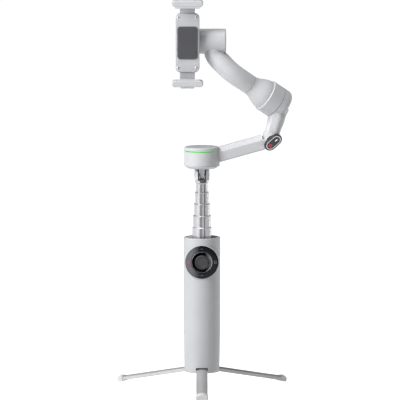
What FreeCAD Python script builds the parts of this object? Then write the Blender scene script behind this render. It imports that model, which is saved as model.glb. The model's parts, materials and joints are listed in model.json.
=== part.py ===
import FreeCAD, Part
import math
import os

# Three-axis phone gimbal with a telescopic stick and a folding tripod.
# Millimetres. +Z runs up the handle, -Y is the side with the control pad,
# and the origin is the mouth of the tripod socket in the handle's base.

Vector = FreeCAD.Vector
ORIGIN = Vector(0, 0, 0)
X_AXIS = Vector(1, 0, 0)
Y_AXIS = Vector(0, 1, 0)
Z_AXIS = Vector(0, 0, 1)

# ---- driving dimensions: handle ----
GRIP_R = 18.25
GRIP_FOOT_R = 17.5
GRIP_TOP = 135.0
GRIP_WALL = 1.9
GRIP_BORE_R = GRIP_R - GRIP_WALL
BASE_CAP_TOP = 7.0
SLIDE_GAP = 0.2

# ---- driving dimensions: control pad, trigger, charging socket ----
PAD_Z = 111.7
PAD_FRONT_Y = -18.9
PAD_R = 16.3
RING_INNER_R = 10.6
WELL_R = 9.3
KNOB_R = 7.0
KNOB_FRONT_Y = -21.3
KNOB_PIVOT_Y = -14.0
TRIGGER_Z = 110.0
TRIGGER_HALF_WIDTH = 5.0
TRIGGER_HALF_HEIGHT = 9.0
USB_Z = 24.0

# ---- driving dimensions: telescopic stick, widest tube first ----
STICK_RADII = (9.55, 8.7, 7.75, 6.8, 5.85)
STICK_TOPS = (144.9, 156.6, 168.4, 180.0, 189.2)
STICK_LENGTH = 54.0
STICK_GROOVES = ((-0.8, 1.3), (2.65, 0.75))
STICK_GROOVE_DEPTH = 0.42
LAST_TUBE_WALL = 0.8
STICK_LIP = 0.4
STICK_LIP_HEIGHT = 0.8
SLEEVE_R = 11.4
SLEEVE_BOTTOM = 60.0

# ---- driving dimensions: head tilt hinge ----
COLLAR_R = 6.8
COLLAR_TOP = 192.0
HINGE_Z = 196.8
EAR_INNER_X = 4.0
EAR_OUTER_X = 7.4
EAR_R = 6.9
TONGUE_HALF_WIDTH = 2.4
TONGUE_R = 4.4
HINGE_PIN_R = 1.6

# ---- driving dimensions: pan motor ----
PAN_R = 17.7
PAN_BOTTOM = 204.0
PAN_SPLIT = 207.2
PAN_TOP = 225.3
PAN_WALL = 1.6
LED_LOW = 220.9
LED_HIGH = 222.2
LED_START_DEG = 168.0
LED_END_DEG = 312.0

# ---- driving dimensions: lower arm and fold hinge ----
ARM_START = Vector(10.0, 0, 215.8)
ARM_RISE_DEG = 15.7
ARM_LENGTH = 52.5
ARM_HALF_HEIGHT = 7.4
ARM_HALF_DEPTH = 6.75
ARM_CHAMFER = 4.2
FOLD_POINT = Vector(70.4, -8.0, 231.0)
FOLD_TILT_DEG = 30.0
FOLD_SIDE_DEG = 48.0
FOLD_PIN_R = 2.2
KNUCKLE_R = 6.6
KNUCKLE_END = 5.4
BARREL_START = 5.75
BARREL_END = 13.0
FOLD_BOSS_R = 3.7
FOLD_BOSS_END = 17.2
FOLD_RELIEF_R = 7.2
FOLD_SWEEP_R = 11.8
FOLD_CLEAR_R = 24.0
FOLD_PLUG_LENGTH = 16.0
FOLD_CAP_LENGTH = 19.9
FOLD_CAP_WIDTH = 12.9
FOLD_CAP_THICKNESS = 2.2

# ---- driving dimensions: roll motor ----
ROLL_POINT = Vector(73.5, 19.0, 268.0)
ROLL_RISE_DEG = 35.0
ROLL_TOWARD_DEG = 16.0
ROLL_R = 16.3
ROLL_CUP_DEPTH = 10.4
ROLL_FLOOR = 1.5
ROLL_BAND = 12.0
ROLL_NOSE_END = 33.0
NECK_R = 9.7
NECK_END_R = 10.2
NECK_RINGS = 14
ROLL_GAP = 0.2

# ---- driving dimensions: tilt motor and phone clamp ----
PHONE_X = -14.4
PHONE_Z = 329.5
PHONE_BACK_Y = -8.0
PHONE_GAP = 73.5
TILT_Y = 11.5
TILT_R = 12.5
TILT_LEFT = -8.0
TILT_RIGHT = 24.0
TILT_WALL = 1.5
PLATE_HALF_WIDTH = 12.0
PLATE_HALF_HEIGHT = 29.5
PLATE_FRONT_Y = -7.0
PLATE_BACK_Y = -2.0
JAW_WIDTH = 31.5
JAW_HEIGHT = 6.3
JAW_FRONT_Y = -19.5
JAW_BACK_Y = -1.5
JAW_LIP = 1.6
JAW_PAD_THICKNESS = 0.6
STRAP_HALF_WIDTH = 7.5
STRAP_THICKNESS = 2.2
STRAP_LENGTH = 28.0

# ---- driving dimensions: tripod ----
LEG_ANGLES = {"front": 270.0, "left": 150.0, "right": 30.0}
LEG_HINGE_R = 13.6
LEG_HINGE_Z = 2.4
LEG_SLOT_TOP = 5.5
LEG_WIDTH = 11.2
LEG_THICKNESS = 4.6
LEG_LENGTH = 80.0
LEG_DROOP_DEG = 11.0
LEG_PIN_R = 0.9
LEG_BARREL_R = 2.0
FOOT_LENGTH = 6.0

# ---- driving dimensions: tripod socket, 1/4 inch - 20 ----
SOCKET_R = 3.175
SOCKET_DEPTH = 8.0

nodes = {}


# ---------------------------------------------------------------- helpers

def cylinder(radius, start, end):
    axis = end - start
    return Part.makeCylinder(radius, axis.Length, start, axis)


def tube(outer, inner, start, end):
    return cylinder(outer, start, end).cut(cylinder(inner, start, end))


def box(low, high):
    size = Vector(*high) - Vector(*low)
    return Part.makeBox(size.x, size.y, size.z, Vector(*low))


def fuse(first, *others):
    return first.fuse(list(others)).removeSplitter()


def local_frame(origin, x_dir, z_dir):
    """Matrix that carries local axes to x_dir and z_dir at origin."""
    z_unit = Vector(z_dir).normalize()
    x_unit = (x_dir - z_unit * x_dir.dot(z_unit)).normalize()
    y_unit = z_unit.cross(x_unit)
    return FreeCAD.Matrix(
        x_unit.x, y_unit.x, z_unit.x, origin.x,
        x_unit.y, y_unit.y, z_unit.y, origin.y,
        x_unit.z, y_unit.z, z_unit.z, origin.z,
        0, 0, 0, 1)


def turned(profile, origin=ORIGIN, axis=Z_AXIS):
    """Solid of revolution from (radius, height) corners."""
    corners = [Vector(radius, 0, height) for radius, height in profile]
    face = Part.Face(Part.makePolygon(corners + corners[:1]))
    return place(face.revolve(ORIGIN, Z_AXIS, 360), origin, axis)


def place(shape, origin, axis, x_dir=None):
    if x_dir is None:
        x_dir = Y_AXIS if abs(axis.dot(Y_AXIS)) < 0.9 else X_AXIS
    return shape.transformed(local_frame(origin, x_dir, axis), True)


def round_edges(shape, radius, wanted):
    edges = [edge for edge in shape.Edges if wanted(edge)]
    return shape.makeFillet(radius, edges)


def rounded_rectangle(half_x, half_y, corner):
    """Closed wire in the local XY plane, anticlockwise from the right side."""
    edges = []
    corners = ((half_x, half_y), (-half_x, half_y), (-half_x, -half_y), (half_x, -half_y))
    last = Vector(half_x, -half_y + corner, 0)
    for index, (corner_x, corner_y) in enumerate(corners):
        centre = Vector(math.copysign(half_x - corner, corner_x), math.copysign(half_y - corner, corner_y), 0)
        turn = math.radians(90 * index)
        points = [centre + Vector(math.cos(turn + step), math.sin(turn + step), 0) * corner
                  for step in (0, math.pi / 4, math.pi / 2)]
        edges.append(Part.LineSegment(last, points[0]).toShape())
        edges.append(Part.Arc(*points).toShape())
        last = points[2]
    return Part.Wire(edges)


def rounded_block(half_x, half_y, height, corner):
    """Upright block with rounded vertical corners, from local z = 0."""
    return Part.Face(rounded_rectangle(half_x, half_y, corner)).extrude(Vector(0, 0, height))


def capsule(length, width, height):
    """Upright block with half-round ends, from local z = 0."""
    return rounded_block(length / 2, width / 2, height, width / 2 - 0.01)


def angle_direction(degrees):
    return Vector(math.cos(math.radians(degrees)), math.sin(math.radians(degrees)), 0)


def loft(sections):
    return Part.makeLoft(sections, True, False)


# ---------------------------------------------------------------- handle

def pad_cylinder(radius, front_y, back_y):
    return cylinder(radius, Vector(0, front_y, PAD_Z), Vector(0, back_y, PAD_Z))


def leg_slot(degrees):
    """Space in the base that one leg's root swings in."""
    slot = box((LEG_HINGE_R - 3.4, -LEG_WIDTH / 2 - 0.3, -1.0), (GRIP_R + 2.0, LEG_WIDTH / 2 + 0.3, LEG_SLOT_TOP))
    slot.rotate(ORIGIN, Z_AXIS, degrees)
    return slot


def make_grip_shell():
    outer = turned([(0, 0.8), (GRIP_FOOT_R - 0.45, 0.8), (GRIP_FOOT_R, 2.8), (GRIP_R - 0.3, 24.0),
                    (GRIP_R, 55.0), (GRIP_R, GRIP_TOP), (0, GRIP_TOP)])
    outer = round_edges(outer, 1.0, lambda edge: edge.BoundBox.ZMin > GRIP_TOP - 0.1)
    boss = Part.makeCone(PAD_R + 1.9, PAD_R + 0.7, 15.0, Vector(0, PAD_FRONT_Y + 15.0, PAD_Z), Vector(0, -1, 0))
    boss = round_edges(boss, 0.6, lambda edge: edge.BoundBox.YMax < PAD_FRONT_Y + 0.1)
    outer = outer.fuse(boss)
    shell = outer.cut(cylinder(GRIP_BORE_R, Vector(0, 0, 0), Vector(0, 0, GRIP_TOP + 1)))
    shell = shell.cut(pad_cylinder(PAD_R + 0.2, PAD_FRONT_Y - 1, PAD_FRONT_Y + 2.0))
    shell = shell.cut(pad_cylinder(WELL_R + 0.65, PAD_FRONT_Y - 1, -10.0))
    trigger_hole = rounded_block(TRIGGER_HALF_WIDTH + 0.2, TRIGGER_HALF_HEIGHT + 0.2, 10.0, 3.2)
    shell = shell.cut(place(trigger_hole, Vector(0, 12.0, TRIGGER_Z), Y_AXIS, X_AXIS))
    usb_hole = rounded_block(4.6, 1.75, 10.0, 1.7)
    shell = shell.cut(place(usb_hole, Vector(0, 12.0, USB_Z), Y_AXIS, X_AXIS))
    for degrees in LEG_ANGLES.values():
        shell = shell.cut(leg_slot(degrees))
    return shell.removeSplitter()


def make_grip_top_collar():
    inner = STICK_RADII[0] + SLIDE_GAP
    return turned([(inner, 126.0), (GRIP_BORE_R, 126.0), (GRIP_BORE_R, GRIP_TOP - 0.5),
                   (GRIP_BORE_R - 2.6, GRIP_TOP - 0.6), (inner + 1.6, GRIP_TOP - 2.6), (inner, GRIP_TOP - 2.6)])


def make_base_cap():
    cap = turned([(0, 0), (GRIP_BORE_R + 0.6, 0), (GRIP_BORE_R + 0.6, 0.8), (GRIP_BORE_R, 0.8),
                  (GRIP_BORE_R, BASE_CAP_TOP), (0, BASE_CAP_TOP)])
    cap = cap.cut(cylinder(5.2, Vector(0, 0, -1), Vector(0, 0, BASE_CAP_TOP + 1)))
    for degrees in LEG_ANGLES.values():
        cap = cap.cut(leg_slot(degrees))
        pin_hole = cylinder(LEG_PIN_R, leg_point(degrees, -8.0), leg_point(degrees, 8.0))
        cap = cap.cut(pin_hole)
    for degrees in (90.0, 210.0, 330.0):
        spot = angle_direction(degrees) * 12.6
        cap = cap.cut(cylinder(1.15, spot - Z_AXIS, spot + Z_AXIS * 9.0))
        cap = cap.cut(cylinder(2.1, spot - Z_AXIS, spot + Z_AXIS * 1.5))
    return cap


def make_base_screws():
    screws = []
    for degrees in (90.0, 210.0, 330.0):
        spot = angle_direction(degrees) * 12.6
        head = cylinder(2.0, spot + Z_AXIS * 0.2, spot + Z_AXIS * 1.5)
        head = head.cut(cylinder(0.75, spot, spot + Z_AXIS * 0.9))
        screws.append(fuse(head, cylinder(1.1, spot + Z_AXIS * 1.5, spot + Z_AXIS * 7.0)))
    return Part.makeCompound(screws)


def make_socket_insert():
    bush = turned([(0, 0), (5.2, 0), (5.2, BASE_CAP_TOP), (6.4, BASE_CAP_TOP),
                   (6.4, BASE_CAP_TOP + 2.0), (0, BASE_CAP_TOP + 2.0)])
    return bush.cut(cylinder(SOCKET_R, ORIGIN - Z_AXIS, Vector(0, 0, SOCKET_DEPTH)))


def make_leg_pins():
    pins = [cylinder(LEG_PIN_R, leg_point(degrees, -7.6), leg_point(degrees, 7.6))
            for degrees in LEG_ANGLES.values()]
    return Part.makeCompound(pins)


def make_inner_chassis():
    """One moulding: the stick's guide sleeve, its floor, and the battery's cradle below."""
    inner = STICK_RADII[0] + SLIDE_GAP
    sleeve = turned([(inner, SLEEVE_BOTTOM), (SLEEVE_R, SLEEVE_BOTTOM), (SLEEVE_R, 126.0), (inner, 126.0)])
    floor = turned([(0, 57.0), (SLEEVE_R, 57.0), (SLEEVE_R, SLEEVE_BOTTOM), (0, SLEEVE_BOTTOM)])
    cradle = tube(10.3, 9.15, Vector(0, 0, BASE_CAP_TOP + 2.0), Vector(0, 0, 57.0))
    cradle = cradle.cut(box((-4.0, -12.0, 18.0), (4.0, -5.0, 50.0)))
    return fuse(sleeve, floor, cradle)


def make_battery_cell():
    can = turned([(0, 14.0), (9.0, 14.0), (9.0, 52.0), (8.4, 52.6), (0, 52.6)])
    return can.fuse(cylinder(3.0, Vector(0, 0, 52.6), Vector(0, 0, 53.8))).removeSplitter()


def make_main_board():
    board = box((-6.0, 12.0, 14.0), (6.0, 13.2, 92.0))
    chips = [box((-4.0, 13.2, 40.0), (4.0, 14.4, 48.0)),
             box((-3.0, 13.2, 56.0), (3.0, 14.1, 61.0)),
             box((-4.5, 13.2, 70.0), (0.5, 14.1, 74.0))]
    return fuse(board, *chips)


def make_usb_socket():
    shell = rounded_block(4.45, 1.6, 4.1, 1.5)
    cavity = rounded_block(4.05, 1.2, 3.5, 1.15)
    cavity.translate(Vector(0, 0, 0.8))
    tongue = box((-3.2, -0.35, 0.6), (3.2, 0.35, 3.8))
    socket = shell.cut(cavity).fuse(tongue).removeSplitter()
    return place(socket, Vector(0, 13.25, USB_Z), Y_AXIS, X_AXIS)


def make_control_ring():
    front = PAD_FRONT_Y - 0.5
    ring = pad_turned([(RING_INNER_R, 0.4), (RING_INNER_R + 0.5, 0), (PAD_R - 0.8, 0), (PAD_R, 0.6),
                       (PAD_R, 1.9), (RING_INNER_R, 1.9)], front)
    return ring


def pad_turned(profile, front_y):
    """Solid of revolution about the pad's axis; heights run inwards from front_y."""
    return turned(profile, Vector(0, front_y, PAD_Z), Y_AXIS)


def make_joystick_well():
    front = PAD_FRONT_Y - 0.45
    depth = -15.4 - front
    return pad_turned([(WELL_R, 0), (WELL_R + 0.55, 0), (WELL_R + 0.55, depth), (3.4, depth),
                       (3.4, depth - 1.3), (WELL_R - 1.2, depth - 1.3), (WELL_R, depth - 2.2)], front)


def make_joystick_gimbal():
    return pad_turned([(2.5, 0), (3.4, 0), (3.4, 0.8), (2.5, 0.8)], KNOB_PIVOT_Y - 0.4)


def make_joystick_cap():
    """Thumb disc with a raised rim, on its stem."""
    return pad_turned([(0, 0.55), (5.0, 0.55), (5.35, 0.2), (5.9, 0), (6.6, 0.25), (KNOB_R, 0.8),
                       (KNOB_R, 1.6), (6.3, 2.1), (1.8, 2.1), (1.8, 6.2), (2.1, 6.4), (2.1, 7.8), (0, 7.8)],
                      KNOB_FRONT_Y)


def make_trigger():
    cap = rounded_block(TRIGGER_HALF_WIDTH, TRIGGER_HALF_HEIGHT, 6.6, 3.0)
    cap = round_edges(cap, 1.4, lambda edge: edge.BoundBox.ZMin > 6.5)
    grip = cylinder(26.0, Vector(-10, 0, 31.5), Vector(10, 0, 31.5))
    cap = cap.cut(grip)
    return place(cap, Vector(0, 14.3, TRIGGER_Z), Y_AXIS, X_AXIS)


# ---------------------------------------------------------------- tripod

def leg_point(degrees, across):
    """Point on a leg's hinge line."""
    side = angle_direction(degrees + 90.0)
    return angle_direction(degrees) * LEG_HINGE_R + side * across + Z_AXIS * LEG_HINGE_Z


def leg_frame(degrees):
    """Matrix with local X out along the drooping leg, local Z its upper side."""
    droop = math.radians(LEG_DROOP_DEG)
    out = angle_direction(degrees) * math.cos(droop) - Z_AXIS * math.sin(droop)
    up = angle_direction(degrees) * math.sin(droop) + Z_AXIS * math.cos(droop)
    return local_frame(leg_point(degrees, 0), out, up)


def crowned_section(half_width, low, side_high, crown_high, at_x):
    """Flat-bottomed section with a crowned top, in the local YZ plane at x = at_x."""
    corners = [Vector(at_x, half_width, side_high), Vector(at_x, half_width, low),
               Vector(at_x, -half_width, low), Vector(at_x, -half_width, side_high)]
    crown = Part.Arc(corners[3], Vector(at_x, 0, crown_high), corners[0]).toShape()
    sides = [Part.LineSegment(corners[i], corners[i + 1]).toShape() for i in range(3)]
    return Part.Face(Part.Wire(sides + [crown]))


def make_leg(degrees):
    half = LEG_THICKNESS / 2
    start = 3.0
    blade = crowned_section(LEG_WIDTH / 2, -half, half - 1.5, half, start)
    blade = blade.extrude(Vector(LEG_LENGTH - start, 0, 0))
    blade = round_edges(blade, 0.6, lambda edge: edge.BoundBox.ZMax < -half + 0.1 and edge.BoundBox.YLength < 0.1)
    barrel = cylinder(LEG_BARREL_R, Vector(0, -LEG_WIDTH / 2, 0), Vector(0, LEG_WIDTH / 2, 0))
    root = box((0, -LEG_WIDTH / 2, -half + 0.1), (start + 0.2, LEG_WIDTH / 2, half - 1.5))
    bore = cylinder(LEG_PIN_R + 0.05, Vector(0, -LEG_WIDTH, 0), Vector(0, LEG_WIDTH, 0))
    leg = fuse(blade, barrel, root).cut(bore)
    return leg.transformed(leg_frame(degrees), True)


def make_foot(degrees):
    half = LEG_THICKNESS / 2
    start = LEG_LENGTH - 3.0
    boot = crowned_section(LEG_WIDTH / 2 + 0.5, -half - 0.6, half - 1.3, half + 0.5, start)
    boot = boot.extrude(Vector(FOOT_LENGTH, 0, 0))
    boot = round_edges(boot, 0.9, lambda edge: edge.BoundBox.XMin > start + FOOT_LENGTH - 0.1)
    pocket = crowned_section(LEG_WIDTH / 2, -half, half - 1.5, half, start - 1.0).extrude(Vector(4.0, 0, 0))
    bump = cylinder(1.5, Vector(start + 3.4, -2.6, half - 0.3), Vector(start + 3.4, 2.6, half - 0.3))
    bump = round_edges(bump, 0.6, lambda edge: edge.BoundBox.YLength < 0.1)
    boot = fuse(boot, bump).cut(pocket)
    return boot.transformed(leg_frame(degrees), True)


# ---------------------------------------------------------------- telescopic stick

def stick_bore(index):
    if index + 1 == len(STICK_RADII):
        return STICK_RADII[index] - LAST_TUBE_WALL
    return STICK_RADII[index + 1] + SLIDE_GAP


def make_stick_tube(index):
    """Tube with two grooves down its front; the middle ones have a lip that seats on the next."""
    radius = STICK_RADII[index]
    bore = stick_bore(index)
    top = STICK_TOPS[index]
    low = top - STICK_LENGTH
    last = len(STICK_RADII) - 1
    lip = STICK_LIP if 0 < index < last else 0.0
    shoulder = top - STICK_LIP_HEIGHT
    pipe = turned([(bore, low), (radius, low), (radius, shoulder), (radius + lip, shoulder + 0.001),
                   (radius + lip, top - 0.3), (radius + lip - 0.3, top), (bore, top)])
    skin = tube(radius + 1, radius - STICK_GROOVE_DEPTH, Vector(0, 0, low - 1), Vector(0, 0, shoulder - 0.1))
    for centre, half_width in STICK_GROOVES:
        track = box((centre - half_width, -radius - 2, low - 2), (centre + half_width, 0, shoulder + 1))
        pipe = pipe.cut(skin.common(track))
    return pipe.removeSplitter()


def make_stick_collar():
    top_r = COLLAR_R
    low = STICK_TOPS[-1]
    return turned([(0, low), (top_r - 0.3, low), (top_r, low + 0.4), (top_r, COLLAR_TOP - 0.4),
                   (top_r - 0.3, COLLAR_TOP), (0, COLLAR_TOP)])


def ear_plate(half_y, low_z, low_x, high_x):
    plate = box((low_x, -half_y, low_z), (high_x, half_y, HINGE_Z))
    dome = cylinder(half_y, Vector(low_x, 0, HINGE_Z), Vector(high_x, 0, HINGE_Z))
    upper_half = box((low_x, -half_y, HINGE_Z), (high_x, half_y, HINGE_Z + half_y))
    return fuse(plate, dome.common(upper_half))


def make_tilt_fork():
    ears = []
    rim = cylinder(EAR_OUTER_X + 0.2, Vector(0, 0, COLLAR_TOP), Vector(0, 0, PAN_BOTTOM))
    for low_x, high_x in ((-EAR_OUTER_X, -EAR_INNER_X), (EAR_INNER_X, EAR_OUTER_X)):
        ear = ear_plate(EAR_R, COLLAR_TOP, low_x, high_x).common(rim)
        ears.append(ear.cut(hinge_pin_shape(HINGE_PIN_R)))
    return Part.makeCompound(ears)


def hinge_pin_shape(radius):
    return cylinder(radius, Vector(-EAR_OUTER_X - 0.2, 0, HINGE_Z), Vector(EAR_OUTER_X + 0.2, 0, HINGE_Z))


def make_tilt_liners():
    liners = []
    for low_x, high_x in ((-EAR_INNER_X, -TONGUE_HALF_WIDTH - 0.15), (TONGUE_HALF_WIDTH + 0.15, EAR_INNER_X)):
        liner = ear_plate(EAR_R - 0.5, COLLAR_TOP, low_x, high_x)
        liners.append(liner.cut(hinge_pin_shape(HINGE_PIN_R)))
    return Part.makeCompound(liners)


def make_tilt_pin():
    return hinge_pin_shape(HINGE_PIN_R)


# ---------------------------------------------------------------- pan motor

def make_pan_base():
    cup = turned([(0, PAN_BOTTOM), (PAN_R - 3.6, PAN_BOTTOM), (PAN_R - 0.7, PAN_SPLIT - 1.2),
                  (PAN_R - 0.05, PAN_SPLIT - 0.5), (PAN_R - 0.05, PAN_SPLIT), (PAN_R - 2.2, PAN_SPLIT),
                  (PAN_R - 3.8, PAN_BOTTOM + 2.0), (0, PAN_BOTTOM + 2.0)])
    tongue = box((-TONGUE_HALF_WIDTH, -TONGUE_R, HINGE_Z), (TONGUE_HALF_WIDTH, TONGUE_R, PAN_BOTTOM + 0.5))
    knuckle = cylinder(TONGUE_R, Vector(-TONGUE_HALF_WIDTH, 0, HINGE_Z), Vector(TONGUE_HALF_WIDTH, 0, HINGE_Z))
    bore = hinge_pin_shape(HINGE_PIN_R + 0.05)
    return fuse(cup, tongue, knuckle).cut(bore)


def make_pan_shaft():
    return turned([(0, PAN_BOTTOM + 2.0), (5.5, PAN_BOTTOM + 2.0), (5.5, PAN_BOTTOM + 3.2),
                   (3.0, PAN_BOTTOM + 3.2), (3.0, PAN_TOP - 4.0), (0, PAN_TOP - 4.0)])


def motor_stator(outer, inner, low, high, origin=ORIGIN, axis=Z_AXIS, teeth=9):
    """Laminated core: a hub ring with T-shaped teeth."""
    hub = tube(inner + 1.6, inner, Vector(0, 0, low), Vector(0, 0, high))
    rim = tube(outer, outer - 0.9, Vector(0, 0, low), Vector(0, 0, high))
    solids = [rim]
    slots = []
    for index in range(teeth):
        degrees = 360.0 / teeth * index
        tooth = box((inner + 1.0, -0.8, low), (outer - 0.4, 0.8, high))
        slot = box((outer - 1.5, -0.4, low - 1), (outer + 1, 0.4, high + 1))
        tooth.rotate(ORIGIN, Z_AXIS, degrees)
        slot.rotate(ORIGIN, Z_AXIS, degrees + 180.0 / teeth)
        solids.append(tooth)
        slots.append(slot)
    core = hub.fuse(solids).cut(Part.makeCompound(slots)).removeSplitter()
    return place(core, origin, axis)


def motor_windings(outer, inner, low, high, origin=ORIGIN, axis=Z_AXIS, teeth=9):
    """One copper coil on each tooth, as separate solids."""
    coils = []
    for index in range(teeth):
        degrees = 360.0 / teeth * index
        coil = box((inner + 1.7, -1.25, low - 0.4), (outer - 1.0, 1.25, high + 0.4))
        core = box((inner + 1.0, -0.8, low), (outer, 0.8, high))
        coil = coil.cut(core)
        coil.rotate(ORIGIN, Z_AXIS, degrees)
        coils.append(coil)
    return place(Part.makeCompound(coils), origin, axis)


PAN_STATOR = dict(outer=12.5, inner=5.0, low=210.2, high=216.0)


def make_pan_stator():
    core = motor_stator(**PAN_STATOR)
    sleeve = tube(PAN_STATOR["inner"], 3.0, Vector(0, 0, PAN_BOTTOM + 3.2), Vector(0, 0, 216.0))
    return core.fuse(sleeve).removeSplitter()


def make_pan_windings():
    return motor_windings(**PAN_STATOR)


def make_pan_housing():
    low = PAN_SPLIT + 0.15
    housing = turned([(PAN_R - PAN_WALL, low), (PAN_R, low), (PAN_R, PAN_TOP - 2.0),
                      (PAN_R - PAN_WALL, PAN_TOP - 2.0)])
    return housing.cut(led_arc(PAN_R - 0.9, PAN_R + 1.0, 0.0))


def led_arc(inner, outer, shrink):
    low = LED_LOW + shrink
    band = turned([(inner, low), (outer, low), (outer, LED_HIGH - shrink), (inner, LED_HIGH - shrink)])
    wedge = Part.Face(Part.makePolygon([
        ORIGIN, angle_direction(LED_START_DEG + shrink) * 40.0,
        angle_direction((LED_START_DEG + LED_END_DEG) / 2) * 60.0,
        angle_direction(LED_END_DEG - shrink) * 40.0, ORIGIN])).extrude(Vector(0, 0, 300.0))
    return band.common(wedge)


def make_led_ring():
    return led_arc(PAN_R - 0.9, PAN_R + 0.05, 0.0)


def make_pan_top_cap():
    low = PAN_TOP - 2.0
    cap = turned([(0, low), (PAN_R, low), (PAN_R, PAN_TOP), (0, PAN_TOP)])
    cap = round_edges(cap, 1.3, lambda edge: edge.BoundBox.ZMin > PAN_TOP - 0.1)
    hub = tube(7.5, 5.6, Vector(0, 0, low - 5.2), Vector(0, 0, low))
    return fuse(cap, hub)


def make_pan_magnets():
    return tube(15.3, 13.0, Vector(0, 0, 209.4), Vector(0, 0, 217.0)).fuse(
        tube(PAN_R - PAN_WALL, 15.3, Vector(0, 0, 211.0), Vector(0, 0, 217.0))).removeSplitter()


def make_pan_bearing():
    return tube(5.6, 3.04, Vector(0, 0, PAN_TOP - 6.6), Vector(0, 0, PAN_TOP - 3.6))


# ---------------------------------------------------------------- lower arm and fold hinge

ARM_DIR = Vector(math.cos(math.radians(ARM_RISE_DEG)), 0, math.sin(math.radians(ARM_RISE_DEG)))
FOLD_IN = Vector(-math.sin(math.radians(FOLD_TILT_DEG)) * math.cos(math.radians(FOLD_SIDE_DEG)),
                 math.cos(math.radians(FOLD_TILT_DEG)),
                 math.sin(math.radians(FOLD_TILT_DEG)) * math.sin(math.radians(FOLD_SIDE_DEG)))


def fold_point(along):
    return FOLD_POINT + FOLD_IN * along


def arm_block(half_depth, half_height, chamfer, start, length):
    """Bar along the lower arm: square below, chamfered above."""
    outline = [Vector(-half_height, -half_depth, 0), Vector(-half_height, half_depth, 0),
               Vector(half_height - chamfer * 1.15, half_depth, 0), Vector(half_height, half_depth - chamfer, 0),
               Vector(half_height, -half_depth + chamfer, 0), Vector(half_height - chamfer * 1.15, -half_depth, 0)]
    bar = Part.Face(Part.makePolygon(outline + outline[:1])).extrude(Vector(0, 0, length))
    return bar, local_frame(ARM_START + ARM_DIR * start, Z_AXIS, ARM_DIR)


def fold_sweep(radius):
    """Space behind the front knuckle that the upper arm's root turns in."""
    return cylinder(radius, fold_point(KNUCKLE_END), fold_point(BARREL_END + 12.0))


def make_lower_arm():
    bar, matrix = arm_block(ARM_HALF_DEPTH, ARM_HALF_HEIGHT, ARM_CHAMFER, 0.0, ARM_LENGTH)
    bar = round_edges(bar, 1.6, lambda edge: edge.BoundBox.ZLength > 10)
    hollow, _ = arm_block(ARM_HALF_DEPTH - 1.6, ARM_HALF_HEIGHT - 1.6, ARM_CHAMFER - 0.6, 0.0, ARM_LENGTH + 2)
    hollow.translate(Vector(0, 0, -1))
    bar = bar.cut(hollow).transformed(matrix, True)
    bar = bar.cut(cylinder(PAN_R, Vector(0, 0, 190.0), Vector(0, 0, 240.0)))
    return bar.cut(fold_sweep(FOLD_RELIEF_R))


def make_fold_block():
    knuckle = cylinder(KNUCKLE_R, fold_point(0), fold_point(KNUCKLE_END))
    link, matrix = arm_block(ARM_HALF_DEPTH - 0.1, ARM_HALF_HEIGHT - 0.6, ARM_CHAMFER, ARM_LENGTH, 5.6)
    plug, plug_matrix = arm_block(ARM_HALF_DEPTH - 1.6, ARM_HALF_HEIGHT - 1.6, ARM_CHAMFER - 0.6,
                                  ARM_LENGTH - FOLD_PLUG_LENGTH, FOLD_PLUG_LENGTH + 0.2)
    block = fuse(link.transformed(matrix, True), plug.transformed(plug_matrix, True), knuckle)
    block = block.cut(fold_sweep(FOLD_SWEEP_R))
    return block.cut(cylinder(FOLD_PIN_R, fold_point(-1), fold_point(20)))


def make_fold_pin():
    return cylinder(FOLD_PIN_R, fold_point(0), fold_point(FOLD_BOSS_END - 0.4))


def fold_cap_frame(along):
    """Matrix on the hinge axis, local X along the oval cap's long side, local Z outwards."""
    out = FOLD_IN * -1.0
    long_side = Vector(math.cos(math.radians(42)), 0, math.sin(math.radians(42)))
    return local_frame(fold_point(along), long_side, out)


def make_fold_cap():
    cap = capsule(FOLD_CAP_LENGTH, FOLD_CAP_WIDTH, FOLD_CAP_THICKNESS)
    cap = round_edges(cap, 0.8, lambda edge: edge.BoundBox.ZMin > FOLD_CAP_THICKNESS - 0.05)
    groove = capsule(FOLD_CAP_LENGTH - 3.2, FOLD_CAP_WIDTH - 3.2, 1.0).cut(
        capsule(FOLD_CAP_LENGTH - 4.8, FOLD_CAP_WIDTH - 4.8, 1.0))
    groove.translate(Vector(0, 0, FOLD_CAP_THICKNESS - 0.4))
    return cap.cut(groove).transformed(fold_cap_frame(0), True)


# ---------------------------------------------------------------- upper arm and roll motor

ROLL_DIR = Vector(-math.cos(math.radians(ROLL_TOWARD_DEG)) * math.cos(math.radians(ROLL_RISE_DEG)),
                  -math.sin(math.radians(ROLL_TOWARD_DEG)),
                  math.cos(math.radians(ROLL_TOWARD_DEG)) * math.sin(math.radians(ROLL_RISE_DEG)))


def roll_point(along):
    return ROLL_POINT + ROLL_DIR * along


def roll_turned(profile):
    """Solid of revolution about the roll axis; heights run towards the phone."""
    return turned(profile, ROLL_POINT, ROLL_DIR)


def arm_section(centre, normal, half_width, half_depth):
    corner = min(half_width, half_depth) * 0.86
    wire = rounded_rectangle(half_width, half_depth, corner)
    return wire.transformed(local_frame(centre, X_AXIS, normal), True)


UPPER_ARM_PATH = (
    (Vector(70.2, 0.6, 233.5), 6.9, 5.4),
    (Vector(71.2, 4.6, 243.4), 7.7, 6.4),
    (Vector(73.3, 9.2, 249.9), 8.3, 7.4),
    (Vector(74.7, 14.0, 255.9), 8.9, 8.6),
    (Vector(77.2, 19.0, 262.0), 9.5, 9.2),
)


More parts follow.
